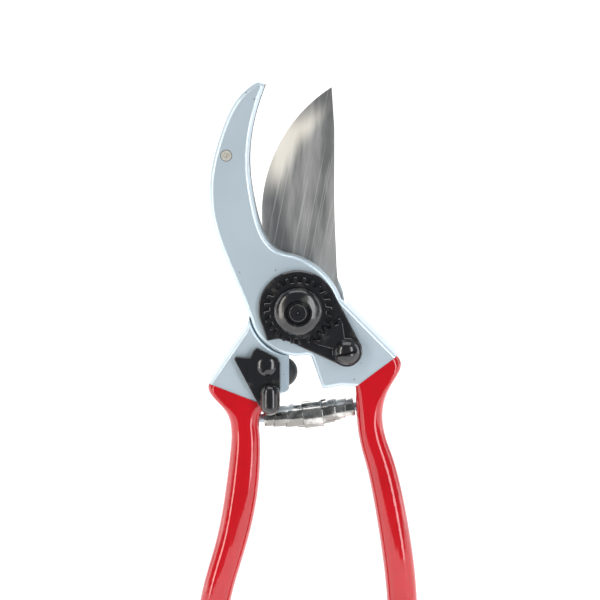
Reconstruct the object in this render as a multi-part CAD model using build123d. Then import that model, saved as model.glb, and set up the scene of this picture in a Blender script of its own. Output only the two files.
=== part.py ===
from build123d import *
import math
import os

os.makedirs("parts", exist_ok=True)

# Pruning shears, in millimetres, held upright with the jaws open.
# X runs to the right and Z up along the jaws.  -Y is the front, where the lock nut is.
# The origin is on the pivot's axis, at the plane where the two blades slide on each other.

# ---- pivot ----
BOSS_R = 16.2            # round boss of the hook's handle
BACK_BOSS_R = 15.6       # round boss of the blade's handle
BOLT_R = 4.0             # shank of the pivot bolt
THREAD_R = 3.0           # threaded end of the pivot bolt
RUN_FIT = 0.05           # radial clearance of a turning fit
BOSS_GAP = 0.35          # gap between the two handles round the boss
BACK_GAP = 1.0           # the same gap behind

# ---- layers from front to back, along Y ----
BOSS_FRONT = -7.5
COUNTER_FRONT = -2.6     # front face of the counter blade
SLIDE = 0.04             # half the gap between the two blades
BLADE_BACK = 3.04
BACK = 7.5               # back face of both handles
SHOULDER_FRONT = -7.0    # front face of the blade's handle
PLATE_T = 1.5            # lock plate and catch plate
FLANGE_T = 1.8           # toothed flange of the nut, and the segment

# ---- adjusting gear: nut and segment in mesh ----
NUT_TEETH = 24
SEGMENT_TEETH = 25
MODULE = 0.88
TOOTH_UP = 0.8          # tip above the pitch circle
TOOTH_DOWN = 1.05        # root below the pitch circle
TOOTH_CHAMFER = 0.2
TOOTH_PROFILE = [(-0.32, -TOOTH_DOWN), (-0.13, TOOTH_UP), (0.13, TOOTH_UP), (0.32, -TOOTH_DOWN)]
SEGMENT_BEARING = -40.9  # of the segment's screw from the pivot, in degrees
SEGMENT_DIST = MODULE * (NUT_TEETH + SEGMENT_TEETH) / 2

# ---- catch ----
CATCH = (-10.5, -19.3)   # its screw, on the blade's handle
CATCH_SHANK_R = 1.9
CATCH_THREAD_R = 1.6
CATCH_DEPTH = 7.0
CATCH_HEAD_R = 3.1
CATCH_HEAD_H = 0.9
CATCH_PLAY = 0.05        # under the head of the catch's screw
SPRING_WASHER_R = 3.6
WASHER_T = 0.65
CATCH_BACK = SHOULDER_FRONT - WASHER_T
CATCH_FRONT = CATCH_BACK - PLATE_T

# ---- grips and volute spring ----
COATING = 1.3            # thickness of the red sleeve
CORE_END = -134.0        # where the forging ends inside the grips
SPRING_LEFT = (-11.5, -38.8)
SPRING_MIDDLE = (5.0, -37.4)
SPRING_RIGHT = (19.0, -34.8)


def polar(radius, degrees, centre=(0, 0)):
    """Point at a radius and bearing from a centre."""
    a = math.radians(degrees)
    return (centre[0] + radius * math.cos(a), centre[1] + radius * math.sin(a))


def slab(face, front, back):
    """Extrude an outline drawn in X and Z between two planes of Y."""
    return extrude(Plane.XZ.offset(-back) * face, amount=back - front)


def rod(centre, radius, front, back):
    """Cylinder along Y."""
    return slab(Pos(*centre) * Circle(radius), front, back)


def arc_about(radius, start, end, centre=(0, 0)):
    """Arc about a centre, between two bearings."""
    return ThreePointArc(
        polar(radius, start, centre),
        polar(radius, (start + end) / 2, centre),
        polar(radius, end, centre),
    )


def round_corner(face, point, radius):
    """Round the corner of an outline that lies nearest a point."""
    corner = min(face.vertices(), key=lambda v: math.dist((v.X, v.Y), point))
    return fillet(corner, radius)


def rim(solid, y):
    """Edges of a solid that lie in one plane of Y."""
    return [e for e in solid.edges() if max(abs(p.Y - y) for p in (e @ 0, e @ 0.5, e @ 1)) < 0.01]


def away_from(edges, start, end):
    """Edges without those that lie along one straight line of X and Z."""
    run = Vector(end[0] - start[0], 0, end[1] - start[1]).normalized()
    origin = Vector(start[0], 0, start[1])

    def off_line(edge):
        point = edge @ 0.5 - origin
        return abs(point.X * run.Z - point.Z * run.X) > 0.05

    return [e for e in edges if off_line(e)]


def from_pivot(edge):
    """Distance of an edge's middle from the pivot's axis."""
    middle = edge @ 0.5
    return math.hypot(middle.X, middle.Z)


def save(solid, name):
    """Write one sub-part, named, as its own STEP file."""
    solid.label = name
    export_step(solid, f"parts/{name}.step")


SEGMENT = polar(SEGMENT_DIST, SEGMENT_BEARING)
PLATE_FRONT = BOSS_FRONT - PLATE_T
FLANGE_FRONT = PLATE_FRONT - FLANGE_T
HUB_R = 8.2              # domed hub of the nut
HUB_FRONT = -15.0
HUB_CURVE = [(HUB_R, FLANGE_FRONT), (7.5, HUB_FRONT + 1.6), (4.7, HUB_FRONT)]
HUB_RECESS = [(4.2, HUB_FRONT), (3.6, HUB_FRONT + 0.7)]
BOLT_FRONT = -15.3       # threaded end of the bolt
HEAD_FRONT = BACK + 0.8  # hexagon head of the pivot bolt, behind
HEAD_BACK = HEAD_FRONT + 2.3
HEX_R = 7.4              # across the corners of the bolt's head
HEX_ROUND = 7.0          # radius its corners are turned down to
HEX_BEVEL = 0.6
BOLT_END_R = 0.5
BOLT_DIMPLE_R = 0.7
WASHER_R = 8.6
EDGE_R = 1.4             # soft edge of the forgings in front
BACK_EDGE_R = 1.2
SEGMENT_HUB_R = 4.9      # round end of the toothed segment
SCREW_R = 2.2            # segment's screw
SCREW_DEPTH = 8.0
SCREW_HEAD_R = 4.4
SCREW_HEAD_H = 2.6
SCREW_SLOT = 0.9
RIVET = (-23.7, 51.5)
RIVET_R = 2.0
BLADE_PIN = (-8.8, -7.0)
PIN_R = 1.6
PIN_SHORT = 0.3          # of the blade's sliding face
PIN_BEVEL = 0.3
PEG_R = 1.5              # pegs that hold the spring's ends
PEG_LENGTH = 2.0
PEG_ROOT = 3.0           # how far a peg reaches into its forging
GRIP_END_R = 3.2         # rounding of a grip's closed end
COUNTER_R = 13.0         # round base of the counter blade
RIVET_PROUD = 0.12
RIVET_BEVEL = 0.2
RIVET_DIMPLE_R = 0.9
CUT = 1.0                # how far a cutting tool starts outside the metal

# ---- handles under their red sleeves ----
# Each station across a grip: its inner end, its outer end, its thickness and its corner radius.
HOOK_STATIONS = [
    ((19.2, -26.6), (33.0, -16.1), 15.3, 2.4),
    ((19.4, -30.2), (34.5, -20.8), 15.3, 3.4),
    ((19.6, -34.0), (31.9, -25.9), 15.2, 4.0),
    ((19.7, -37.8), (29.3, -32.2), 15.0, 4.3),
    ((20.2, -42.9), (28.7, -39.3), 15.0, 4.3),
    ((22.6, -53.1), (31.7, -50.4), 15.2, 4.4),
    ((27.2, -76.6), (37.4, -74.0), 15.6, 4.7),
    ((30.0, -98.4), (40.5, -97.3), 15.4, 4.7),
    ((30.6, -116.0), (40.9, -116.6), 15.0, 4.6),
    ((29.6, -130.2), (39.4, -132.2), 14.4, 4.4),
    ((28.4, -139.7), (36.9, -142.3), 13.4, 3.9),
]
BLADE_STATIONS = [
    ((-10.8, -33.0), (-29.6, -25.6), 14.6, 2.4),
    ((-11.9, -35.2), (-30.0, -28.7), 14.7, 3.4),
    ((-12.9, -37.6), (-26.6, -33.2), 14.8, 4.0),
    ((-13.1, -40.1), (-23.9, -37.0), 14.9, 4.3),
    ((-12.8, -43.7), (-22.7, -42.1), 15.0, 4.3),
    ((-12.6, -50.0), (-23.0, -49.4), 15.2, 4.5),
    ((-13.6, -64.2), (-24.6, -62.2), 15.6, 4.8),
    ((-17.6, -82.9), (-27.9, -80.3), 15.6, 4.8),
    ((-22.2, -98.9), (-32.4, -96.5), 15.4, 4.7),
    ((-24.6, -115.0), (-34.9, -114.2), 15.0, 4.6),
    ((-24.4, -129.2), (-34.3, -130.4), 14.4, 4.4),
    ((-22.6, -139.3), (-31.3, -142.0), 13.4, 3.9),
]


def station(inner, outer, thickness, corner, inset):
    """Rounded section across a grip, shrunk by an inset."""
    width = math.dist(inner, outer)
    across = Vector(outer[0] - inner[0], 0, outer[1] - inner[1]) / width
    middle = ((inner[0] + outer[0]) / 2, 0, (inner[1] + outer[1]) / 2)
    plane = Plane(origin=middle, x_dir=across, z_dir=(across.Z, 0, -across.X))
    return plane * RectangleRounded(width - 2 * inset, thickness - 2 * inset, corner - inset)


def handle_loft(stations, inset):
    return loft([station(*row, inset) for row in stations])


# ---- hook's handle: arm, boss, shoulder and lug in one forging ----
HOOK_TIP = (-13.0, 75.8)
TIP_ROUND = 0.9
LUG_ROUND = 1.6
NOTCH_ROUND = 1.5        # corner where the boss meets the lug
HOOK_SHOULDER = Pos(24, -14) * Rectangle(48, 36)  # part of the outline as thick as the grip
ARM_OUTER = [
    HOOK_TIP,
    (-19.6, 70.4),
    (-25.6, 58.2),
    (-29.1, 43.4),
    (-28.6, 31.2),
    (-23.6, 15.5),
    polar(BOSS_R + 0.4, 186),
]
ARM_INNER = [(-10.9, 74.8), (-14.2, 64.7), (-16.2, 50.5), (-14.3, 34.1), (-8.7, 20.9), (-2.8, 18.2)]
THROAT = [(-2.8, 18.2), (5.0, 15.0), (11.2, 9.1), (14.4, 2.8)]
LUG = [(8.2, -27.5), (14.6, -26.3)]


def hook_outline():
    outline = Curve() + [
        Spline(*ARM_OUTER),
        Line(ARM_OUTER[-1], polar(BOSS_R, 192)),
        arc_about(BOSS_R, 192, 285),
        Line(polar(BOSS_R, 285), LUG[0]),
        Line(LUG[0], LUG[1]),
        Line(LUG[1], HOOK_STATIONS[0][0]),
        Line(HOOK_STATIONS[0][0], HOOK_STATIONS[0][1]),
        Line(HOOK_STATIONS[0][1], THROAT[-1]),
        Spline(*THROAT[::-1]),
        Spline(*ARM_INNER[::-1]),
        Line(ARM_INNER[0], HOOK_TIP),
    ]
    face = make_face(outline)
    face = round_corner(face, LUG[0], LUG_ROUND)
    face = round_corner(face, polar(BOSS_R, 285), NOTCH_ROUND)
    for corner in (HOOK_TIP, ARM_INNER[0]):
        face = round_corner(face, corner, TIP_ROUND)
    return face


def spring_peg(start, end):
    """Short peg of a handle that a spring end sits on."""
    direction = Vector(end[0] - start[0], 0, end[1] - start[1]).normalized()
    root = Vector(start[0], 0, start[1]) - direction * PEG_ROOT
    plane = Plane(origin=root, z_dir=direction)
    return extrude(plane * Circle(PEG_R), amount=PEG_ROOT + PEG_LENGTH)


def core(stations, spring_end):
    """Forging inside a grip, cut short of the grip's closed end, with its peg for the spring."""
    kept = Pos(0, 0, CORE_END + 100) * Box(200, 40, 200)
    return (handle_loft(stations, COATING) & kept) + spring_peg(spring_end, SPRING_MIDDLE)


def hook_handle():
    outline = hook_outline()
    paint = HOOK_STATIONS[0][:2]
    front = slab(outline, BOSS_FRONT, COUNTER_FRONT)
    front = fillet(away_from(rim(front, BOSS_FRONT), *paint), EDGE_R)
    shoulder = outline & HOOK_SHOULDER
    shoulder = shoulder - Circle(BACK_BOSS_R + BACK_GAP)
    block = slab(shoulder, COUNTER_FRONT, BACK)
    outer = [e for e in away_from(rim(block, BACK), *paint) if from_pivot(e) > BACK_BOSS_R + BACK_GAP + 0.5]
    block = fillet(outer, BACK_EDGE_R)
    handle = front + block + core(HOOK_STATIONS, SPRING_RIGHT)
    handle -= rod((0, 0), BOLT_R + RUN_FIT, BOSS_FRONT - CUT, BACK)
    handle -= rod(SEGMENT, SCREW_R, BOSS_FRONT - CUT, BOSS_FRONT + SCREW_DEPTH)
    handle -= rod(RIVET, RIVET_R, BOSS_FRONT - CUT, COUNTER_FRONT + CUT)
    return handle


def hook_grip():
    """Red sleeve dipped over the hook's handle."""
    grip = handle_loft(HOOK_STATIONS, 0)
    grip = fillet(grip.faces().sort_by(Axis.Z)[0].edges(), GRIP_END_R)
    return grip - core(HOOK_STATIONS, SPRING_RIGHT)


# ---- counter blade riveted behind the hook's arm ----
COUNTER_OUTER = [
    (-12.8, 74.9),
    (-18.7, 69.5),
    (-24.6, 57.8),
    (-28.0, 43.4),
    (-27.5, 31.2),
    (-22.5, 15.5),
    (-COUNTER_R, 0.0),
]
COUNTER_EDGE = [(-10.5, 74.5), (-13.8, 64.7), (-15.8, 50.5), (-13.9, 34.1), (-8.3, 21.0), (-2.6, 17.6)]


def counter_blade():
    outline = Curve() + [
        Spline(*COUNTER_OUTER),
        arc_about(COUNTER_R, 180, 360),
        Spline((COUNTER_R, 0.0), (9.6, 10.2), COUNTER_EDGE[-1], tangents=[(0, 1), (-1, 0.3)]),
        Spline(*COUNTER_EDGE[::-1]),
        Line(COUNTER_EDGE[0], COUNTER_OUTER[0]),
    ]
    blade = slab(make_face(outline), COUNTER_FRONT, -SLIDE)
    blade -= rod((0, 0), BOLT_R + RUN_FIT, COUNTER_FRONT - CUT, CUT)
    blade -= rod(RIVET, RIVET_R, COUNTER_FRONT - CUT, CUT)
    return blade


def counter_blade_rivet():
    front = BOSS_FRONT - RIVET_PROUD
    shank = rod(RIVET, RIVET_R, front, -SLIDE)
    dimple = Plane.XZ.offset(-front) * Pos(*RIVET) * Sphere(RIVET_DIMPLE_R)
    return chamfer(rim(shank, front), RIVET_BEVEL) - dimple


# ---- lock plate under the nut, and what it holds ----
PLATE_R = 13.2
TAIL_R = 5.2
PLATE_BEVEL = 0.4
PLATE_LUG = (-10.4, -10.5)
PLATE_CUT = [PLATE_LUG, (-6.3, -9.9), (-2.3, -11.1)]


def lock_plate_outline():
    """Round plate with a tail under the segment's screw and a hooked lug for the catch."""
    spread = math.degrees(math.acos((PLATE_R - TAIL_R) / SEGMENT_DIST))
    upper = SEGMENT_BEARING + spread
    lower = SEGMENT_BEARING - spread - 9.0
    outline = Curve() + [
        arc_about(PLATE_R, upper, 205),
        Line(polar(PLATE_R, 205), PLATE_CUT[0]),
        Line(PLATE_CUT[0], PLATE_CUT[1]),
        Line(PLATE_CUT[1], PLATE_CUT[2]),
        Line(PLATE_CUT[2], polar(TAIL_R, lower, SEGMENT)),
        arc_about(TAIL_R, lower, upper, SEGMENT),
        Line(polar(TAIL_R, upper, SEGMENT), polar(PLATE_R, upper)),
    ]
    return make_face(outline)


def lock_plate():
    plate = slab(lock_plate_outline(), PLATE_FRONT, BOSS_FRONT)
    plate = chamfer(rim(plate, PLATE_FRONT), PLATE_BEVEL)
    plate -= rod((0, 0), BOLT_R + RUN_FIT, PLATE_FRONT - CUT, BOSS_FRONT + CUT)
    plate -= rod(SEGMENT, SCREW_R, PLATE_FRONT - CUT, BOSS_FRONT + CUT)
    return plate


def toothed_outline(teeth, start, stop, first_tooth):
    """Closed outline of gear teeth round the origin, from tooth start up to tooth stop."""
    pitch_r = MODULE * teeth / 2
    step = 360 / teeth
    points = []
    for tooth in range(start, stop):
        centre = first_tooth + tooth * step
        for share, rise in TOOTH_PROFILE:
            points.append(polar(pitch_r + rise, centre + share * step))
    return points


def toothed_nut():
    """Nut with a toothed flange, a domed hub and a recess round the bolt's end."""
    first = SEGMENT_BEARING
    teeth = make_face(Polyline(*toothed_outline(NUT_TEETH, 0, NUT_TEETH, first), close=True))
    nut = slab(teeth, FLANGE_FRONT, PLATE_FRONT)
    nut = chamfer(rim(nut, FLANGE_FRONT), TOOTH_CHAMFER)
    inner = THREAD_R - 0.5  # inside the bore that is cut last
    profile = Curve() + [
        Line((inner, FLANGE_FRONT), HUB_CURVE[0]),
        Spline(*HUB_CURVE, tangents=[(-0.02, -1), (-1, -0.42)]),
        Line(HUB_CURVE[-1], HUB_RECESS[0]),
        Line(HUB_RECESS[0], HUB_RECESS[1]),
        Line(HUB_RECESS[1], (inner, HUB_RECESS[1][1])),
        Line((inner, HUB_RECESS[1][1]), (inner, FLANGE_FRONT)),
    ]
    nut += revolve(make_face(profile), axis=Axis.Y)
    return nut - rod((0, 0), THREAD_R, HUB_FRONT - CUT, PLATE_FRONT + CUT)


def toothed_segment():
    """Sector that meshes with the nut and stops it turning."""
    step = 360 / SEGMENT_TEETH
    first = SEGMENT_BEARING + 180 + step / 2
    points = toothed_outline(SEGMENT_TEETH, -3, 2, first)
    sector = make_face(Polyline((0, 0), *points, close=True))
    face = Pos(*SEGMENT) * (sector + Circle(SEGMENT_HUB_R))
    segment = slab(face, FLANGE_FRONT, PLATE_FRONT)
    segment = chamfer(rim(segment, FLANGE_FRONT), TOOTH_CHAMFER)
    return segment - rod(SEGMENT, SCREW_R, FLANGE_FRONT - CUT, PLATE_FRONT + CUT)


def domed_head(centre, radius, height, back, slot_width, slot_bearing):
    """Domed screw head with a straight slot, its flat underside at back."""
    sphere_r = (radius ** 2 + height ** 2) / (2 * height)
    at = Plane.XZ.offset(-back) * Pos(*centre)
    dome = at * Pos(0, 0, height - sphere_r) * Sphere(sphere_r)
    head = dome & rod(centre, radius, back - height - 1, back)
    slot = at * Rot(0, 0, slot_bearing) * Pos(0, 0, height) * Box(radius * 3, slot_width, height)
    return head - slot


def segment_screw():
    head = domed_head(SEGMENT, SCREW_HEAD_R, SCREW_HEAD_H, FLANGE_FRONT, SCREW_SLOT, 14)
    return head + rod(SEGMENT, SCREW_R, FLANGE_FRONT, BOSS_FRONT + SCREW_DEPTH)


def pivot_bolt():
    """Bolt through both handles and both blades, its head at the back."""
    head = slab(RegularPolygon(HEX_R, 6) & Circle(HEX_ROUND), HEAD_FRONT, HEAD_BACK)
    head = chamfer(rim(head, HEAD_BACK), HEX_BEVEL)
    shank = rod((0, 0), BOLT_R, PLATE_FRONT, HEAD_FRONT)
    end = rod((0, 0), THREAD_R, BOLT_FRONT, PLATE_FRONT)
    end = fillet(rim(end, BOLT_FRONT), BOLT_END_R)
    dimple = Plane.XZ.offset(-BOLT_FRONT) * Sphere(BOLT_DIMPLE_R)
    return head + shank + end - dimple


def thrust_washer():
    """Thin ring between the bolt's head and the blade's handle."""
    disc = rod((0, 0), WASHER_R, BACK + SLIDE, HEAD_FRONT)
    return disc - rod((0, 0), BOLT_R, BACK, HEAD_FRONT + CUT)


# ---- blade's handle ----
SHOULDER_TOP = polar(BOSS_R + BOSS_GAP, 190.3)
SHOULDER_SIDE = (-17.3, -7.6)
INNER_FACE_X = -3.0
INNER_FACE_BOTTOM = -28.2
INNER_HEEL = (-5.9, -29.1)
LEDGE_STEPS = [(2.3, 0.7), (1.1, 1.9)]  # reach from the inner face, and depth
LEDGE_MIDDLE = -22.5
LEDGE_LENGTH = 20.0
NECK_FIT = 0.6           # of the neck beyond the front boss, to reach the shoulder
SHOULDER_EDGE_R = 0.9
HEEL_ROUND = 1.0
NECK_SECTOR = [(0, 0), (-40, -7), (-40, -60), (-9, -60)]  # where the neck reaches the shoulder


def shoulder_outline():
    radius = BOSS_R + BOSS_GAP
    bottom = math.degrees(math.acos(-INNER_FACE_X / radius))
    paint = BLADE_STATIONS[0][:2]
    outline = Curve() + [
        arc_about(radius, 190.3, 180 + bottom),
        Line(polar(radius, 180 + bottom), (INNER_FACE_X, INNER_FACE_BOTTOM)),
        Line((INNER_FACE_X, INNER_FACE_BOTTOM), INNER_HEEL),
        Line(INNER_HEEL, paint[0]),
        Line(paint[0], paint[1]),
        Line(paint[1], SHOULDER_SIDE),
        Line(SHOULDER_SIDE, SHOULDER_TOP),
    ]
    return round_corner(make_face(outline), (INNER_FACE_X, INNER_FACE_BOTTOM), HEEL_ROUND)


def blade_handle():
    outline = shoulder_outline()
    paint = BLADE_STATIONS[0][:2]
    shoulder = slab(outline, SHOULDER_FRONT, BACK)
    shoulder = fillet(away_from(rim(shoulder, SHOULDER_FRONT), *paint), SHOULDER_EDGE_R)
    outer_side = [e for e in rim(shoulder, BACK) if (e @ 0.5).X < SHOULDER_SIDE[0] and e.length > 20]
    shoulder = fillet(away_from(outer_side, *paint), BACK_EDGE_R)
    for reach, depth in LEDGE_STEPS:
        step = Pos(INNER_FACE_X, LEDGE_MIDDLE) * Rectangle(2 * reach, LEDGE_LENGTH)
        shoulder -= slab(step, SHOULDER_FRONT - CUT, SHOULDER_FRONT + depth)
    sector = Circle(BOSS_R + NECK_FIT) & Polygon(*NECK_SECTOR, align=None)
    neck = slab(Circle(BACK_BOSS_R) + sector, BLADE_BACK, BACK)
    handle = shoulder + neck + core(BLADE_STATIONS, SPRING_LEFT)
    handle -= rod((0, 0), BOLT_R + RUN_FIT, -CUT, BACK + CUT)
    handle -= rod(BLADE_PIN, PIN_R, -CUT, BACK + CUT)
    handle -= rod(CATCH, CATCH_THREAD_R, SHOULDER_FRONT - CUT, SHOULDER_FRONT + CATCH_DEPTH)
    handle -= bumper_stem()
    return handle


def blade_grip():
    """Red sleeve dipped over the blade's handle."""
    grip = handle_loft(BLADE_STATIONS, 0)
    grip = fillet(grip.faces().sort_by(Axis.Z)[0].edges(), GRIP_END_R)
    return grip - core(BLADE_STATIONS, SPRING_LEFT)


# ---- cutting blade: flat in front, ground to its edge behind ----
CUT_CENTRE = (38.4, 30.9)
CUT_R = 50.5
BEVEL = 9.0
EDGE_T = 0.25
BLADE_BASE_R = 15.2
BEVEL_END = Pos(2, -8) * Circle(33)  # the ground bevel runs out where this begins


def blade_outline():
    tip = polar(CUT_R, 122.6, CUT_CENTRE)
    low = polar(CUT_R, 190, CUT_CENTRE)
    spine = [(12.1, 60.0), (12.3, 29.0), (12.9, 15.5), polar(BLADE_BASE_R, 24)]
    outline = Curve() + [
        arc_about(CUT_R, 122.6, 190, CUT_CENTRE),
        Spline(low, (-12.0, 12.5), polar(BLADE_BASE_R, 172), tangents=[(0.17, -1), (-0.1, -1)]),
        arc_about(BLADE_BASE_R, 172, 384),
        Spline(*spine[::-1], tangents=[(-0.3, 1), (-0.01, 1)]),
        Line(spine[0], tip),
    ]
    return make_face(outline)


def cutting_blade():
    outline = blade_outline()
    lower = slab(outline & BEVEL_END, SLIDE, BLADE_BACK)
    upper = slab(outline - BEVEL_END, SLIDE, BLADE_BACK)
    height = BLADE_BACK - SLIDE - EDGE_T
    ground = Plane.XZ.offset(-BLADE_BACK) * Pos(*CUT_CENTRE) * Cone(
        CUT_R - BEVEL, CUT_R, height, align=(Align.CENTER, Align.CENTER, Align.MIN)
    )
    ground += rod(CUT_CENTRE, CUT_R, SLIDE, SLIDE + EDGE_T)
    blade = lower + (upper & ground)
    blade -= rod((0, 0), BOLT_R + RUN_FIT, -CUT, BLADE_BACK + CUT)
    return blade - rod(BLADE_PIN, PIN_R, -CUT, BLADE_BACK + CUT)


def blade_pin():
    """Dowel that keeps the blade from turning on its handle."""
    pin = rod(BLADE_PIN, PIN_R, SLIDE + PIN_SHORT, BACK)
    return chamfer(rim(pin, BACK), PIN_BEVEL)


# ---- rubber stop between the handles ----
BUMPER_Z = -22.8
BUMPER_R = 4.65
BUMPER_RISE = 2.9
STEM_R = 2.2
STEM_LENGTH = 5.0


def bumper_stem():
    plane = Plane(origin=(INNER_FACE_X, 0, BUMPER_Z), x_dir=(0, 1, 0), z_dir=(-1, 0, 0))
    return extrude(plane * Circle(STEM_R), amount=STEM_LENGTH)


def bumper():
    """Rubber dome with a stem pressed into the handle's inner face."""
    sphere_r = (BUMPER_R ** 2 + BUMPER_RISE ** 2) / (2 * BUMPER_RISE)
    centre = (INNER_FACE_X + BUMPER_RISE - sphere_r, BUMPER_Z)
    rim_bearing = math.degrees(math.asin(BUMPER_R / sphere_r))
    base = (INNER_FACE_X, BUMPER_Z)
    profile = Curve() + [
        Line(base, polar(sphere_r, 0, centre)),
        arc_about(sphere_r, 0, rim_bearing, centre),
        Line(polar(sphere_r, rim_bearing, centre), base),
    ]
    dome = revolve(Plane.XZ * make_face(profile), axis=Axis((base[0], 0, base[1]), (1, 0, 0)))
    return dome + bumper_stem()


# ---- catch ----
CATCH_SPIKE = (-21.0, -16.0)
CATCH_OUTLINE = [
    CATCH_SPIKE,
    (-16.1, -16.4),
    (-15.0, -14.1),
    (-13.8, -12.9),
    (-6.7, -16.5),
    (-5.9, -18.3),
    (-5.9, -31.0),
    (-7.4, -34.2),
    (-11.4, -34.4),
    (-13.2, -32.6),
    (-21.3, -16.9),
]


CATCH_ROUNDS = [(3, 0.7), (4, 1.2), (0, 0.4)]  # corner of the outline, and its radius
CATCH_EDGE_R = 0.35
BUTTON_R = 3.3
BUTTON_REACH = 2.15      # from the middle of the thumb piece to each round end
BUTTON = (-9.35, -30.3)
BUTTON_SINK = 0.4        # its axis in front of the plate


def catch_plate():
    face = make_face(Polyline(*CATCH_OUTLINE, close=True))
    for corner, radius in [(CATCH_OUTLINE[i], size) for i, size in CATCH_ROUNDS]:
        face = round_corner(face, corner, radius)
    plate = slab(face, CATCH_FRONT, CATCH_BACK)
    plate = fillet(rim(plate, CATCH_FRONT), CATCH_EDGE_R)
    return plate - rod(CATCH, CATCH_SHANK_R + RUN_FIT, CATCH_FRONT - CUT, CATCH_BACK + CUT)


def catch_button():
    """Thumb piece: a lying capsule fixed on the plate."""
    axis_y = CATCH_FRONT - BUTTON_SINK
    along = Plane(origin=(BUTTON[0], axis_y, BUTTON[1] - BUTTON_REACH), z_dir=(0, 0, 1))
    pill = extrude(along * Circle(BUTTON_R), amount=2 * BUTTON_REACH)
    for end in (-BUTTON_REACH, BUTTON_REACH):
        pill += Pos(BUTTON[0], axis_y, BUTTON[1] + end) * Sphere(BUTTON_R)
    return pill & slab(Pos(*BUTTON) * Rectangle(20, 20), CATCH_FRONT - 2 * BUTTON_R, CATCH_FRONT)


def catch_screw():
    under = CATCH_FRONT - CATCH_PLAY
    head = domed_head(CATCH, CATCH_HEAD_R, CATCH_HEAD_H, under, 1.0, 48)
    neck = rod(CATCH, CATCH_SHANK_R, under, SHOULDER_FRONT)
    return head + neck + rod(CATCH, CATCH_THREAD_R, SHOULDER_FRONT, SHOULDER_FRONT + CATCH_DEPTH)


def catch_washer():
    """Spring washer that presses the catch's plate against its screw."""
    ring = rod(CATCH, SPRING_WASHER_R, CATCH_BACK + 0.03, SHOULDER_FRONT)
    return ring - rod(CATCH, CATCH_SHANK_R, CATCH_BACK - CUT, SHOULDER_FRONT + CUT)


# ---- volute spring: stepped turns of a flat strip, widest in the middle ----
BAND_T = 0.8             # wall of one turn
TURNS = 5
BAND_LAP = 0.6           # how far a turn reaches under the next
MIDDLE_R = 4.65          # widest turn, in the middle
MIDDLE_BORE_R = 3.4
MIDDLE_HALF = 3.4        # half its length
INNER_TURN_R = 4.4       # first turn beside it
BAND_START = 3.0         # where that turn comes out, from the middle
LEFT_END_R = 2.75
RIGHT_END_R = 2.85


def spring_half(end, end_r):
    """Telescoping bands from the middle of the spring to one end."""
    band = (math.dist(SPRING_MIDDLE, end) - BAND_START) / TURNS
    along = (end[0] - SPRING_MIDDLE[0], 0, end[1] - SPRING_MIDDLE[1])
    plane = Plane(origin=(SPRING_MIDDLE[0], 0, SPRING_MIDDLE[1]), z_dir=along)
    half = Part()
    for turn in range(TURNS):
        radius = INNER_TURN_R + (end_r - INNER_TURN_R) * (turn + 1) / TURNS
        ring = Circle(radius) - Circle(radius - BAND_T)
        base = BAND_START + turn * band - BAND_LAP
        half += extrude(plane.offset(base) * ring, amount=band + BAND_LAP)
    return half


def volute_spring():
    direction = (SPRING_RIGHT[0] - SPRING_LEFT[0], 0, SPRING_RIGHT[1] - SPRING_LEFT[1])
    plane = Plane(origin=(SPRING_MIDDLE[0], 0, SPRING_MIDDLE[1]), z_dir=direction)
    ring = Circle(MIDDLE_R) - Circle(MIDDLE_BORE_R)
    middle = extrude(plane.offset(-MIDDLE_HALF) * ring, amount=2 * MIDDLE_HALF)
    return middle + spring_half(SPRING_LEFT, LEFT_END_R) + spring_half(SPRING_RIGHT, RIGHT_END_R)


save(hook_handle(), "hook_handle")
save(hook_grip(), "hook_grip")
save(counter_blade(), "counter_blade")
save(counter_blade_rivet(), "counter_blade_rivet")
save(lock_plate(), "lock_plate")
save(toothed_nut(), "toothed_nut")
save(toothed_segment(), "toothed_segment")
save(segment_screw(), "segment_screw")
save(pivot_bolt(), "pivot_bolt")
save(thrust_washer(), "thrust_washer")
save(blade_handle(), "blade_handle")
save(blade_grip(), "blade_grip")
save(cutting_blade(), "cutting_blade")
save(blade_pin(), "blade_pin")
save(bumper(), "bumper")
save(catch_plate(), "catch_plate")
save(catch_button(), "catch_button")
save(catch_screw(), "catch_screw")
save(catch_washer(), "catch_washer")
save(volute_spring(), "volute_spring")
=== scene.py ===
import math

import bmesh
import bpy
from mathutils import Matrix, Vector


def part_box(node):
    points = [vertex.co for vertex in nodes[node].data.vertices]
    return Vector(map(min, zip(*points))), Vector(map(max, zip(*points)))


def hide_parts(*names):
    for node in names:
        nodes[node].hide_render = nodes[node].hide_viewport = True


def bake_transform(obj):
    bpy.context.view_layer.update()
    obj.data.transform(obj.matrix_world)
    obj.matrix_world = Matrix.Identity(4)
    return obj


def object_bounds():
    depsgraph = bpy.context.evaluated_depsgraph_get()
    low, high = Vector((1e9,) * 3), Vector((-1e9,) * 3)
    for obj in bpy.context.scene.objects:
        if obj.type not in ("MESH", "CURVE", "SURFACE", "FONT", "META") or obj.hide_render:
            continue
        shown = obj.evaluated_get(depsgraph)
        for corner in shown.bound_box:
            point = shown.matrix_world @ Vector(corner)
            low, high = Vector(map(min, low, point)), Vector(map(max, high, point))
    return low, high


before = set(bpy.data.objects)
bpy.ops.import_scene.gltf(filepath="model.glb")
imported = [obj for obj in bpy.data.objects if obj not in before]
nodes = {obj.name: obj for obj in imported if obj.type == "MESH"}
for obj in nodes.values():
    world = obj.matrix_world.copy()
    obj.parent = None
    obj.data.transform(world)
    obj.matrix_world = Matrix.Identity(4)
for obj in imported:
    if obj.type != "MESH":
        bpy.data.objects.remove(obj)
cad_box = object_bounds()

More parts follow.
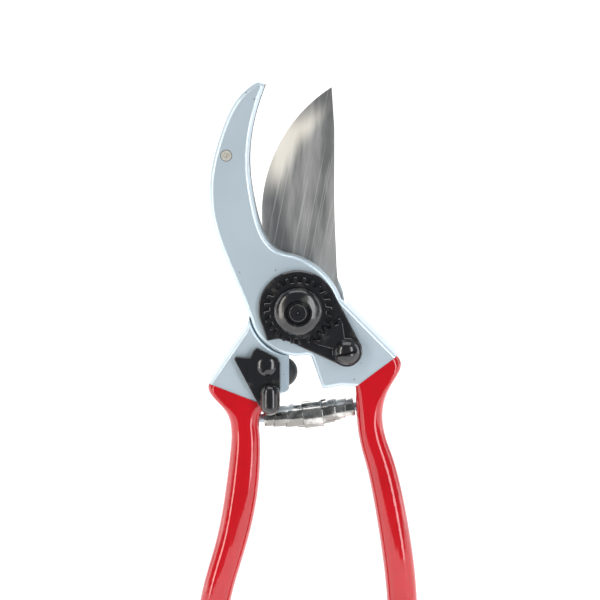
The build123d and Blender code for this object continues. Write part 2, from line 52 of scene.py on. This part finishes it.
# ---------------------------------------------------------------- studio
# The shears are held upright in front of a white sweep: floor and back wall are
# one sheet of paper with a wide bend, lit so that it stays pale everywhere.
mm = 0.001
FLOOR_Z = cad_box[0][2]
SWEEP_WIDTH = 5.0
SWEEP_FRONT = -0.22
SWEEP_BACK = 1.9
SWEEP_BEND = 0.6
SWEEP_HEIGHT = 2.4
BEND_STEPS = 16
PAPER_GLOW = 0.75
ROOM_LIGHT = 0.22
ROOM_SEEN = 1.0
PAPER_WHITE = 0.9


def paper_sweep():
    profile = [(SWEEP_FRONT, FLOOR_Z), (SWEEP_BACK - SWEEP_BEND, FLOOR_Z)]
    for step in range(1, BEND_STEPS + 1):
        turn = math.pi / 2 * step / BEND_STEPS
        y = SWEEP_BACK - SWEEP_BEND + SWEEP_BEND * math.sin(turn)
        profile.append((y, FLOOR_Z + SWEEP_BEND * (1 - math.cos(turn))))
    profile.append((SWEEP_BACK, FLOOR_Z + SWEEP_HEIGHT))
    bm = bmesh.new()
    left, right = [[bm.verts.new((x, y, z)) for y, z in profile] for x in (-SWEEP_WIDTH / 2, SWEEP_WIDTH / 2)]
    for a, b, c, d in zip(left, left[1:], right[1:], right):
        bm.faces.new((d, c, b, a))
    mesh = bpy.data.meshes.new("paper_sweep")
    bm.to_mesh(mesh)
    bm.free()
    mesh.shade_smooth()
    sweep = bpy.data.objects.new("paper_sweep", mesh)
    bpy.context.collection.objects.link(sweep)
    return sweep


def new_material(name):
    """Material with its Principled shader, ready to be wired."""
    material = bpy.data.materials.new(name)
    material.use_nodes = True
    return material, material.node_tree, material.node_tree.nodes["Principled BSDF"]


def softbox(name, bearing, rise, distance, width, height, power, colour):
    """Rectangular studio light that faces the pivot, at a bearing in degrees from the front."""
    turn = math.radians(bearing)
    lift = math.radians(rise)
    away = Vector((math.sin(turn) * math.cos(lift), -math.cos(turn) * math.cos(lift), math.sin(lift)))
    light = bpy.data.lights.new(name, "AREA")
    light.shape = "RECTANGLE"
    light.size = width
    light.size_y = height
    light.energy = power
    light.color = colour
    lamp = bpy.data.objects.new(name, light)
    lamp.location = away * distance
    lamp.rotation_euler = (-away).to_track_quat("-Z", "Y").to_euler()
    bpy.context.collection.objects.link(lamp)


sweep = paper_sweep()
paper, tree, shader = new_material("white_paper")
shader.inputs["Base Color"].default_value = (PAPER_WHITE, PAPER_WHITE, PAPER_WHITE, 1)
shader.inputs["Roughness"].default_value = 0.9
shader.inputs["Emission Color"].default_value = (1, 1, 1, 1)
shader.inputs["Emission Strength"].default_value = PAPER_GLOW
sweep.data.materials.append(paper)

world = bpy.data.worlds.new("studio")
bpy.context.scene.world = world
world.use_nodes = True
sky = world.node_tree.nodes["Background"]
sky.inputs["Color"].default_value = (0.90, 0.95, 1.0, 1)
rays = world.node_tree.nodes.new("ShaderNodeLightPath")
seen = world.node_tree.nodes.new("ShaderNodeMapRange")
seen.inputs["To Min"].default_value = ROOM_LIGHT
seen.inputs["To Max"].default_value = ROOM_SEEN
world.node_tree.links.new(rays.outputs["Is Camera Ray"], seen.inputs["Value"])
world.node_tree.links.new(seen.outputs["Result"], sky.inputs["Strength"])

softbox("softbox_left", -50, 6, 0.9, 0.16, 1.1, 4.2, (1.0, 0.96, 0.88))
softbox("softbox_right", 40, 6, 0.9, 0.24, 1.1, 5.2, (0.96, 0.98, 1.0))
softbox("softbox_top", 0, 72, 0.9, 0.9, 0.4, 3.0, (1, 1, 1))
softbox("strip_left", -98, 5, 0.8, 0.30, 1.0, 2.0, (1.0, 0.97, 0.92))
softbox("strip_right", 98, 5, 0.8, 0.30, 1.0, 2.0, (0.96, 0.98, 1.0))
softbox("softbox_behind", 180, 42, 0.9, 0.6, 0.3, 2.0, (1, 1, 1))

# The camera looks slightly down on the pivot, through a long lens.
AIM = Vector((0.67, -7.5, 3.08)) * mm
CAMERA_TILT = math.radians(10)
CAMERA_DISTANCE = 0.9
VIEW_WIDTH = 0.2
camera_data = bpy.data.cameras.new("camera")
camera_data.sensor_width = 36
camera_data.lens = camera_data.sensor_width * CAMERA_DISTANCE / VIEW_WIDTH
camera = bpy.data.objects.new("camera", camera_data)
camera.location = AIM + CAMERA_DISTANCE * Vector((0, -math.cos(CAMERA_TILT), math.sin(CAMERA_TILT)))
camera.rotation_euler = (AIM - camera.location).to_track_quat("-Z", "Y").to_euler()
bpy.context.collection.objects.link(camera)
bpy.context.scene.camera = camera
bpy.context.scene.view_settings.view_transform = "Standard"

# ---------------------------------------------------------------- forged handles
# Hook's handle and blade's handle: forged aluminium with a satin silver finish.
# Garden use has left a few dark nicks and a faint unevenness in the finish.
SILVER = (0.60, 0.70, 0.77)
SILVER_DULL = (0.54, 0.64, 0.71)
NICK_COLOUR = (0.16, 0.15, 0.13)
NICKS_PER_METRE = 420
NICK_RARITY = 0.78
NICK_SIZE = 0.20
SILVER_METALLIC = 0.42
SILVER_ROUGHNESS = (0.24, 0.34)
SILVER_RELIEF = 0.04 * mm


def sockets(group, names, in_out):
    for name, kind in names:
        group.interface.new_socket(name, in_out=in_out, socket_type=kind)


def math_node(tree, operation, first, second):
    """Math node fed by a link or a number on each side."""
    node = tree.nodes.new("ShaderNodeMath")
    node.operation = operation
    for socket, value in zip(node.inputs, (first, second)):
        if isinstance(value, (int, float)):
            socket.default_value = value
        else:
            tree.links.new(value, socket)
    return node.outputs[0]


def nicks_group():
    """Small scattered marks: 1 in a mark, 0 elsewhere."""
    group = bpy.data.node_groups.new("nicks", "ShaderNodeTree")
    sockets(group, [("Vector", "NodeSocketVector"), ("Density", "NodeSocketFloat")], "INPUT")
    sockets(group, [("Rarity", "NodeSocketFloat"), ("Size", "NodeSocketFloat")], "INPUT")
    sockets(group, [("Mask", "NodeSocketFloat")], "OUTPUT")
    given = group.nodes.new("NodeGroupInput")
    result = group.nodes.new("NodeGroupOutput")
    wobble = group.nodes.new("ShaderNodeTexNoise")
    wobble.inputs["Scale"].default_value = 1400
    cells = group.nodes.new("ShaderNodeTexVoronoi")
    chance = group.nodes.new("ShaderNodeSeparateColor")
    link = group.links.new
    link(given.outputs["Vector"], wobble.inputs["Vector"])
    link(given.outputs["Vector"], cells.inputs["Vector"])
    link(given.outputs["Density"], cells.inputs["Scale"])
    link(cells.outputs["Color"], chance.inputs["Color"])
    ragged = math_node(group, "MULTIPLY", wobble.outputs["Fac"], given.outputs["Size"])
    inside = math_node(group, "LESS_THAN", cells.outputs["Distance"], ragged)
    chosen = math_node(group, "GREATER_THAN", chance.outputs["Red"], given.outputs["Rarity"])
    link(math_node(group, "MULTIPLY", inside, chosen), result.inputs["Mask"])
    return group


def unevenness_group():
    """Slow variation of a finish and its fine grain, both from 0 to 1."""
    group = bpy.data.node_groups.new("unevenness", "ShaderNodeTree")
    sockets(group, [("Vector", "NodeSocketVector"), ("Patches", "NodeSocketFloat")], "INPUT")
    sockets(group, [("Grains", "NodeSocketFloat")], "INPUT")
    sockets(group, [("Slow", "NodeSocketFloat"), ("Fine", "NodeSocketFloat")], "OUTPUT")
    given = group.nodes.new("NodeGroupInput")
    result = group.nodes.new("NodeGroupOutput")
    for source, target, detail in (("Patches", "Slow", 3), ("Grains", "Fine", 2)):
        noise = group.nodes.new("ShaderNodeTexNoise")
        noise.inputs["Detail"].default_value = detail
        group.links.new(given.outputs["Vector"], noise.inputs["Vector"])
        group.links.new(given.outputs[source], noise.inputs["Scale"])
        group.links.new(noise.outputs["Fac"], result.inputs[target])
    return group


nicks = nicks_group()
unevenness = unevenness_group()


def place(tree, group, **values):
    """Put a node group into a material, fed with object coordinates."""
    node = tree.nodes.new("ShaderNodeGroup")
    node.node_tree = group
    coordinates = tree.nodes.new("ShaderNodeTexCoord")
    tree.links.new(coordinates.outputs["Object"], node.inputs["Vector"])
    for name, value in values.items():
        node.inputs[name].default_value = value
    return node.outputs


def mix_colour(tree, factor, first, second):
    """Mix of two colours, each a link or three numbers."""
    node = tree.nodes.new("ShaderNodeMix")
    node.data_type = "RGBA"
    tree.links.new(factor, node.inputs["Factor"])
    for name, value in (("A", first), ("B", second)):
        socket = [s for s in node.inputs if s.name == name and s.type == "RGBA"][0]
        if isinstance(value, tuple):
            socket.default_value = (*value, 1)
        else:
            tree.links.new(value, socket)
    return [s for s in node.outputs if s.type == "RGBA"][0]


def span(tree, value, low, high):
    """Stretch a 0 to 1 value over a range."""
    return math_node(tree, "ADD", math_node(tree, "MULTIPLY", value, high - low), low)


def bump(tree, shader, height, distance):
    node = tree.nodes.new("ShaderNodeBump")
    node.inputs["Strength"].default_value = 1.0
    node.inputs["Distance"].default_value = distance
    tree.links.new(height, node.inputs["Height"])
    tree.links.new(node.outputs["Normal"], shader.inputs["Normal"])


def finish_nodes(material, *names):
    """Give CAD nodes their material."""
    for name in names:
        for slot in nodes[name].material_slots:
            slot.material = material


silver, tree, shader = new_material("satin_silver")
patches = place(tree, unevenness, Patches=45, Grains=2600)
marks = place(tree, nicks, Density=NICKS_PER_METRE, Rarity=NICK_RARITY, Size=NICK_SIZE)
body_colour = mix_colour(tree, patches["Slow"], SILVER_DULL, SILVER)
tree.links.new(mix_colour(tree, marks["Mask"], body_colour, NICK_COLOUR), shader.inputs["Base Color"])
tree.links.new(span(tree, patches["Slow"], *SILVER_ROUGHNESS), shader.inputs["Roughness"])
shader.inputs["Metallic"].default_value = SILVER_METALLIC
height = math_node(tree, "SUBTRACT", math_node(tree, "MULTIPLY", patches["Fine"], 0.25), marks["Mask"])
bump(tree, shader, height, SILVER_RELIEF)
finish_nodes(silver, "hook_handle", "blade_handle")

# ---------------------------------------------------------------- red sleeves
# Grips: the handles are dipped in red vinyl, which sets thick, very glossy and
# slightly wavy, with a few dust points under the skin.
RED = (0.54, 0.0, 0.008)
RED_DEEP = (0.40, 0.0, 0.004)
VINYL_ROUGHNESS = (0.12, 0.22)
VINYL_RELIEF = 0.10 * mm
vinyl, tree, shader = new_material("dipped_red_vinyl")
waves = place(tree, unevenness, Patches=90, Grains=420)
dust = place(tree, nicks, Density=260, Rarity=0.9, Size=0.10)
dipped = mix_colour(tree, waves["Slow"], RED_DEEP, RED)
tree.links.new(dipped, shader.inputs["Base Color"])
tree.links.new(span(tree, waves["Fine"], *VINYL_ROUGHNESS), shader.inputs["Roughness"])
shader.inputs["Coat Weight"].default_value = 1.0
shader.inputs["Coat IOR"].default_value = 1.55
shader.inputs["Specular IOR Level"].default_value = 0.15
shader.inputs["Coat Roughness"].default_value = 0.05
height = math_node(tree, "ADD", waves["Slow"], math_node(tree, "MULTIPLY", dust["Mask"], 0.6))
bump(tree, shader, height, VINYL_RELIEF)
finish_nodes(vinyl, "hook_grip", "blade_grip")

# ---------------------------------------------------------------- blades
# Cutting blade, counter blade and their pins: hardened steel, ground lengthwise,
# with cloudy bands from the wheel, fine slanted scratches and a pale honed edge.
STEEL = (0.58, 0.575, 0.56)
STEEL_DARK = (0.25, 0.25, 0.25)
HONED = (0.90, 0.84, 0.74)
EDGE_CENTRE = (38.4 * mm, 0, 30.9 * mm)
EDGE_RADIUS = 50.5 * mm
STEEL_METALLIC = 0.70
HONED_WIDTH = 8 * mm
HONED_FROM = 34 * mm
HONED_TO = 62 * mm
HONED_STRENGTH = 0.8
GRIND_SLANT = math.radians(-11)
SCRATCH_ABOVE = 0.71
SCRATCH_PALE = (0.82, 0.82, 0.80)
SCRATCH_STRENGTH = 0.35
STEEL_ROUGHNESS = (0.24, 0.44)
STEEL_RELIEF = 0.02 * mm


def ground_lines_group():
    """Marks of grinding along Z: fine lines, broad clouds and single long scratches."""
    group = bpy.data.node_groups.new("ground_lines", "ShaderNodeTree")
    sockets(group, [("Vector", "NodeSocketVector"), ("Slant", "NodeSocketVector")], "INPUT")
    sockets(group, [("Lines", "NodeSocketFloat"), ("Clouds", "NodeSocketFloat")], "OUTPUT")
    sockets(group, [("Scratches", "NodeSocketFloat")], "OUTPUT")
    given = group.nodes.new("NodeGroupInput")
    result = group.nodes.new("NodeGroupOutput")
    turned = group.nodes.new("ShaderNodeMapping")
    group.links.new(given.outputs["Vector"], turned.inputs["Vector"])
    group.links.new(given.outputs["Slant"], turned.inputs["Rotation"])
    stretched = (
        ("Lines", (2600, 2600, 60), 2),
        ("Clouds", (150, 150, 22), 4),
        ("Scratches", (1900, 1900, 14), 0),
    )
    for name, scale, detail in stretched:
        drawn = group.nodes.new("ShaderNodeMapping")
        drawn.inputs["Scale"].default_value = scale
        noise = group.nodes.new("ShaderNodeTexNoise")
        noise.inputs["Scale"].default_value = 1
        noise.inputs["Detail"].default_value = detail
        source = given.outputs["Vector"] if name == "Clouds" else turned.outputs["Vector"]
        group.links.new(source, drawn.inputs["Vector"])
        group.links.new(drawn.outputs["Vector"], noise.inputs["Vector"])
        value = noise.outputs["Fac"]
        if name == "Scratches":
            value = math_node(group, "GREATER_THAN", value, SCRATCH_ABOVE)
        group.links.new(value, result.inputs[name])
    return group


def ramp(tree, value, low, high):
    """0 below low, 1 above high, smooth between."""
    node = tree.nodes.new("ShaderNodeMapRange")
    node.interpolation_type = "SMOOTHSTEP"
    node.inputs["From Min"].default_value = low
    node.inputs["From Max"].default_value = high
    tree.links.new(value, node.inputs["Value"])
    return node.outputs["Result"]


ground_lines = ground_lines_group()


def ground_steel(name, honed):
    """Steel with grinding marks, and with a honed band along the cutting edge where asked."""
    material, tree, shader = new_material(name)
    marks = place(tree, ground_lines, Slant=(0, GRIND_SLANT, 0))
    clouds = ramp(tree, marks["Clouds"], 0.36, 0.62)
    shade = math_node(tree, "MULTIPLY", clouds, span(tree, marks["Lines"], 0.55, 1.35))
    colour = mix_colour(tree, shade, STEEL_DARK, STEEL)
    if honed:
        where = tree.nodes.new("ShaderNodeTexCoord")
        reach = tree.nodes.new("ShaderNodeVectorMath")
        reach.operation = "DISTANCE"
        reach.inputs[1].default_value = EDGE_CENTRE
        tree.links.new(where.outputs["Object"], reach.inputs[0])
        parts = tree.nodes.new("ShaderNodeSeparateXYZ")
        tree.links.new(where.outputs["Object"], parts.inputs[0])
        ragged = math_node(tree, "MULTIPLY", marks["Clouds"], 7 * mm)
        band = ramp(tree, math_node(tree, "ADD", reach.outputs["Value"], ragged),
                    EDGE_RADIUS - HONED_WIDTH + 3 * mm, EDGE_RADIUS)
        above = ramp(tree, parts.outputs["Z"], HONED_FROM, HONED_FROM + 14 * mm)
        below = ramp(tree, parts.outputs["Z"], HONED_TO + 8 * mm, HONED_TO - 4 * mm)
        patch = math_node(tree, "MULTIPLY", band, math_node(tree, "MULTIPLY", above, below))
        colour = mix_colour(tree, math_node(tree, "MULTIPLY", patch, HONED_STRENGTH), colour, HONED)
        dulled = math_node(tree, "SUBTRACT", STEEL_METALLIC, math_node(tree, "MULTIPLY", patch, 0.5))
        tree.links.new(dulled, shader.inputs["Metallic"])
    scratched = math_node(tree, "MULTIPLY", marks["Scratches"], SCRATCH_STRENGTH)
    colour = mix_colour(tree, scratched, colour, SCRATCH_PALE)
    tree.links.new(colour, shader.inputs["Base Color"])
    tree.links.new(span(tree, marks["Lines"], *STEEL_ROUGHNESS), shader.inputs["Roughness"])
    shader.inputs["Metallic"].default_value = STEEL_METALLIC
    bump(tree, shader, marks["Lines"], STEEL_RELIEF)
    return material


cutting_steel = ground_steel("cutting_steel", honed=True)
plain_steel = ground_steel("plain_steel", honed=False)
finish_nodes(cutting_steel, "cutting_blade")
finish_nodes(plain_steel, "counter_blade", "blade_pin", "thrust_washer", "catch_washer")

RIVET_LOW = (0.42, 0.40, 0.34)
RIVET_HIGH = (0.86, 0.84, 0.78)
RIVET_RIM_DARK = (0.10, 0.10, 0.09)
RIM_WIDTH = 0.45 * mm
RIVET_ROUGHNESS = (0.30, 0.60)
RIVET_RELIEF = 0.20 * mm
hammered, tree, shader = new_material("hammered_rivet")
dents = place(tree, unevenness, Patches=900, Grains=2400)
low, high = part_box("counter_blade_rivet")
where = tree.nodes.new("ShaderNodeTexCoord")
reach = tree.nodes.new("ShaderNodeVectorMath")
reach.operation = "DISTANCE"
reach.inputs[1].default_value = ((low.x + high.x) / 2, low.y, (low.z + high.z) / 2)
tree.links.new(where.outputs["Object"], reach.inputs[0])
rivet_radius = (high.x - low.x) / 2
# The rivet's colour darkens to a ring at its rim, over the outer RIM_WIDTH of the head.
rivet_rim_ring = ramp(tree, reach.outputs["Value"], rivet_radius - RIM_WIDTH, rivet_radius)
dented = mix_colour(tree, dents["Slow"], RIVET_LOW, RIVET_HIGH)
tree.links.new(mix_colour(tree, rivet_rim_ring, dented, RIVET_RIM_DARK), shader.inputs["Base Color"])
tree.links.new(span(tree, dents["Fine"], *RIVET_ROUGHNESS), shader.inputs["Roughness"])
shader.inputs["Metallic"].default_value = 0.6
bump(tree, shader, dents["Slow"], RIVET_RELIEF)
finish_nodes(hammered, "counter_blade_rivet")

# ---------------------------------------------------------------- lock gear and catch
# Lock plate, nut, segment, bolt, screws, catch plate and button: steel blackened
# and lacquered. The lacquer is glossy, and rubs a little paler where hands reach.
BLACK = (0.008, 0.008, 0.010)
RUBBED = (0.050, 0.048, 0.045)
LACQUER_ROUGHNESS = (0.10, 0.30)
LACQUER_RELIEF = 0.012 * mm
lacquer, tree, shader = new_material("black_lacquer")
rubbing = place(tree, unevenness, Patches=190, Grains=2200)
scuffs = place(tree, nicks, Density=520, Rarity=0.86, Size=0.16)
worn = ramp(tree, rubbing["Slow"], 0.55, 0.80)
tree.links.new(mix_colour(tree, math_node(tree, "MAXIMUM", worn, scuffs["Mask"]), BLACK, RUBBED),
               shader.inputs["Base Color"])
tree.links.new(span(tree, rubbing["Slow"], *LACQUER_ROUGHNESS), shader.inputs["Roughness"])
shader.inputs["Coat Weight"].default_value = 0.4
shader.inputs["Coat Roughness"].default_value = 0.06
bump(tree, shader, rubbing["Fine"], LACQUER_RELIEF)
finish_nodes(lacquer, "lock_plate", "toothed_nut", "toothed_segment", "segment_screw", "pivot_bolt")
finish_nodes(lacquer, "catch_plate", "catch_button", "catch_screw")

# ---------------------------------------------------------------- rubber stop
# Bumper: a moulded black rubber dome pressed into the blade's handle, matt with
# a fine moulded grain.
RUBBER = (0.010, 0.010, 0.011)
RUBBER_PALE = (0.024, 0.024, 0.025)
RUBBER_ROUGHNESS = (0.34, 0.52)
RUBBER_RELIEF = 0.03 * mm
rubber, tree, shader = new_material("moulded_rubber")
grain = place(tree, unevenness, Patches=260, Grains=3200)
tree.links.new(mix_colour(tree, grain["Slow"], RUBBER, RUBBER_PALE), shader.inputs["Base Color"])
tree.links.new(span(tree, grain["Slow"], *RUBBER_ROUGHNESS), shader.inputs["Roughness"])
bump(tree, shader, grain["Fine"], RUBBER_RELIEF)
finish_nodes(rubber, "bumper")

# ---------------------------------------------------------------- volute spring
# One flat nickel-plated strip wound into two cones, whose turns slide into each
# other, held in the middle by a plain sleeve. Its ends sit on the handles' pegs.
SPRING_LEFT = Vector((-11.5, 0, -38.8)) * mm
SPRING_MIDDLE = Vector((5.0, 0, -37.4)) * mm
SPRING_RIGHT = Vector((19.0, 0, -34.8)) * mm
STRIP_THICK = 0.45 * mm
CONE_WIDE = 4.35 * mm
CONE_NARROW = 2.75 * mm
SLEEVE_RADIUS = 4.65 * mm
SLEEVE_HALF = 3.35 * mm
TURNS = 3.6
STEPS_PER_TURN = 40
STRIP_SHARE = 1.5  # width of the strip, in turns of the cone
NICKEL_DARK = (0.26, 0.255, 0.24)
NICKEL = (0.62, 0.61, 0.59)
NICKEL_ROUGHNESS = (0.10, 0.26)
NICKEL_RELIEF = 0.01 * mm


def ring(centre, axis, across, up, radius, angle, along):
    return centre + axis * along + (across * math.cos(angle) + up * math.sin(angle)) * radius


def cone_strip(bm, end):
    """Wind the strip from under the sleeve to one end, each turn inside the last."""
    axis = (end - SPRING_MIDDLE).normalized()
    length = (end - SPRING_MIDDLE).length
    up = Vector((0, 1, 0))
    across = axis.cross(up)
    pitch = (length - SLEEVE_HALF) / (TURNS - 0.45)
    start = SLEEVE_HALF - pitch
    width = STRIP_SHARE * pitch
    steps = int(TURNS * STEPS_PER_TURN)
    previous = None
    for step in range(steps + 1):
        share = step / steps
        angle = step * 2 * math.pi / STEPS_PER_TURN
        radius = CONE_WIDE + (CONE_NARROW - CONE_WIDE) * share
        base = start + pitch * TURNS * share
        tip = min(base + width, length)
        pair = []
        for along in (base, tip):
            pair.append(bm.verts.new(ring(SPRING_MIDDLE, axis, across, up, radius, angle, along)))
        if previous:
            bm.faces.new((previous[0], previous[1], pair[1], pair[0]))
        previous = pair


def sleeve(bm):
    """Short tube round the middle, slightly proud of the strip."""
    axis = (SPRING_RIGHT - SPRING_LEFT).normalized()
    up = Vector((0, 1, 0))
    across = axis.cross(up)
    loops = []
    for along in (-SLEEVE_HALF, -SLEEVE_HALF / 2, 0, SLEEVE_HALF / 2, SLEEVE_HALF):
        row = []
        for step in range(STEPS_PER_TURN):
            angle = step * 2 * math.pi / STEPS_PER_TURN
            row.append(bm.verts.new(ring(SPRING_MIDDLE, axis, across, up, SLEEVE_RADIUS, angle, along)))
        loops.append(row)
    for first, second in zip(loops, loops[1:]):
        for k in range(STEPS_PER_TURN):
            n = (k + 1) % STEPS_PER_TURN
            bm.faces.new((first[k], first[n], second[n], second[k]))


bm = bmesh.new()
cone_strip(bm, SPRING_LEFT)
cone_strip(bm, SPRING_RIGHT)
sleeve(bm)
bmesh.ops.recalc_face_normals(bm, faces=bm.faces)
mesh = bpy.data.meshes.new("wound_spring")
bm.to_mesh(mesh)
bm.free()
spring = bpy.data.objects.new("wound_spring", mesh)
bpy.context.collection.objects.link(spring)
thicken = spring.modifiers.new("thicken", "SOLIDIFY")
thicken.thickness = STRIP_THICK
thicken.offset = -1
soften = spring.modifiers.new("soften", "BEVEL")
soften.width = 0.1 * mm
soften.segments = 2
bpy.context.view_layer.objects.active = spring
spring.select_set(True)
for modifier in ("thicken", "soften"):
    bpy.ops.object.modifier_apply(modifier=modifier)
spring.data.shade_smooth()
spring.data.set_sharp_from_angle(angle=math.radians(35))

nickel, tree, shader = new_material("bright_nickel")
polish = place(tree, unevenness, Patches=240, Grains=1800)
plated = mix_colour(tree, ramp(tree, polish["Slow"], 0.40, 0.65), NICKEL_DARK, NICKEL)
tree.links.new(plated, shader.inputs["Base Color"])
tree.links.new(span(tree, polish["Slow"], *NICKEL_ROUGHNESS), shader.inputs["Roughness"])
shader.inputs["Metallic"].default_value = 1.0
bump(tree, shader, polish["Fine"], NICKEL_RELIEF)
spring.data.materials.append(nickel)
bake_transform(spring)
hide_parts("volute_spring")
